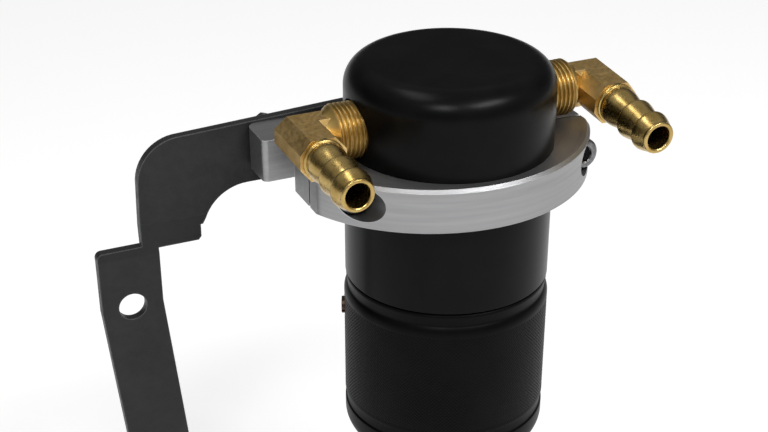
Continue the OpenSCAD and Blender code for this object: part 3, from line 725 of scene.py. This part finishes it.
make_upper_body()
make_cup()
make_seal()
RIGHT = Matrix.Translation((0, 0, PORT_RIGHT_Z)) @ Matrix.Rotation(math.radians(4), 4, "X")
LEFT = (Matrix.Translation((1, 0, PORT_LEFT_Z)) @ Matrix.Rotation(math.radians(1), 4, "X")
        @ Matrix.Rotation(math.pi, 4, "Y"))
make_elbow("outlet", RIGHT)
make_elbow("inlet", LEFT)
make_clamp_ring()
make_socket_screw("left", SCREW_LEFT_X)
make_socket_screw("right", SCREW_RIGHT_X)
make_foot_bolt("left", -BOLT_X, 22)
make_foot_bolt("right", BOLT_X, 10)
make_bracket()

for inner, metal in (("divider_plate", PLATE_METAL), ("mesh_screen", PLATE_METAL),
                     ("inlet_mesh", WIRE_MESH), ("outlet_mesh", WIRE_MESH),
                     ("mesh_circlip", SCREW_STEEL)):
    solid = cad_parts[inner]
    solid.data.materials.clear()
    solid.data.materials.append(metal)


# Studio: plain pale paper, three soft lamps and a soft sky

FLOOR_Z = -0.106
FLOOR_REACH = 8
PAPER_GLOW = 0.61
AIM = Vector((0.093, -0.037, 0.05))


def make_paper():
    """An even pale floor, lit up for what is seen straight on or in a reflection."""
    mesh = bpy.data.meshes.new("studio_paper")
    corners = ((-1, -1), (1, -1), (1, 1), (-1, 1))
    mesh.from_pydata([(x * FLOOR_REACH, y * FLOOR_REACH, FLOOR_Z) for x, y in corners], [], [(0, 1, 2, 3)])
    o = bpy.data.objects.new("studio_paper", mesh)
    bpy.context.scene.collection.objects.link(o)
    f = Finish("plain_paper", Specular_IOR_Level=0)
    f.shader.inputs["Base Color"].default_value = (0.60, 0.60, 0.60, 1)
    f.shader.inputs["Roughness"].default_value = 0.9
    ways = add(f.tree, "ShaderNodeLightPath").outputs
    seen = add(f.tree, "ShaderNodeMath", {"operation": "ADD"}, s0=ways["Is Camera Ray"],
               s1=ways["Is Glossy Ray"]).outputs[0]
    seen = add(f.tree, "ShaderNodeMath", {"operation": "ADD"}, s0=seen,
               s1=ways["Is Transmission Ray"]).outputs[0]
    glow = add(f.tree, "ShaderNodeMath", {"operation": "MULTIPLY"}, s0=seen, s1=PAPER_GLOW).outputs[0]
    f.shader.inputs["Emission Color"].default_value = (1, 1, 1, 1)
    f.tree.links.new(glow, f.shader.inputs["Emission Strength"])
    mesh.materials.append(f.material)


def make_softbox(name, azimuth, elevation, distance, width, height, power):
    """A lamp that faces the can from two angles in degrees, with its power in watts."""
    lamp = bpy.data.lights.new(name, "AREA")
    lamp.shape = "RECTANGLE"
    lamp.size, lamp.size_y = width, height
    lamp.energy = power
    o = bpy.data.objects.new(name, lamp)
    bpy.context.scene.collection.objects.link(o)
    a, e = math.radians(azimuth), math.radians(elevation)
    out = Vector((math.cos(a) * math.cos(e), math.sin(a) * math.cos(e), math.sin(e)))
    o.location = AIM + out * distance
    o.rotation_euler = out.to_track_quat("Z", "Y").to_euler()


def make_sky():
    """A soft even light, darker low down behind the can."""
    world = bpy.data.worlds.new("studio_sky")
    bpy.context.scene.world = world
    world.use_nodes = True
    tree = world.node_tree
    back = tree.nodes["Background"]
    way = add(tree, "ShaderNodeTexCoord").outputs["Generated"]
    part = add(tree, "ShaderNodeSeparateXYZ", Vector=way).outputs
    behind = add(tree, "ShaderNodeMapRange", {"interpolation_type": "SMOOTHSTEP"}, Value=part["Y"],
                 From_Min=-0.25, From_Max=0.25).outputs[0]
    low = add(tree, "ShaderNodeMapRange", {"interpolation_type": "SMOOTHSTEP"}, Value=part["Z"],
              From_Min=0.66, From_Max=0.42).outputs[0]
    shade = add(tree, "ShaderNodeMath", {"operation": "MULTIPLY"}, s0=behind, s1=low).outputs[0]
    level = add(tree, "ShaderNodeMapRange", Value=shade, To_Min=0.38, To_Max=0.08).outputs[0]
    tree.links.new(level, back.inputs["Color"])


def make_camera():
    data = bpy.data.cameras.new("photo_camera")
    data.sensor_width = 36
    data.lens = 72.9
    data.shift_x, data.shift_y = 0.00195, 0.1289
    o = bpy.data.objects.new("photo_camera", data)
    bpy.context.scene.collection.objects.link(o)
    o.location = (-0.1013, -0.4228, 0.2449)
    o.rotation_euler = (math.radians(59.71), math.radians(0.04), math.radians(-24.07))
    data.clip_start, data.clip_end = 0.01, 50
    bpy.context.scene.camera = o


make_paper()
make_softbox("softbox_left", -124, 47, 0.9, 0.20, 0.18, 2.3)
make_softbox("softbox_right", -64, 50, 0.9, 0.44, 0.15, 4.2)
make_softbox("strip_above", 150, 72, 0.42, 0.24, 0.09, 0.34)
make_sky()
make_camera()
bpy.context.scene.view_settings.view_transform = "Standard"
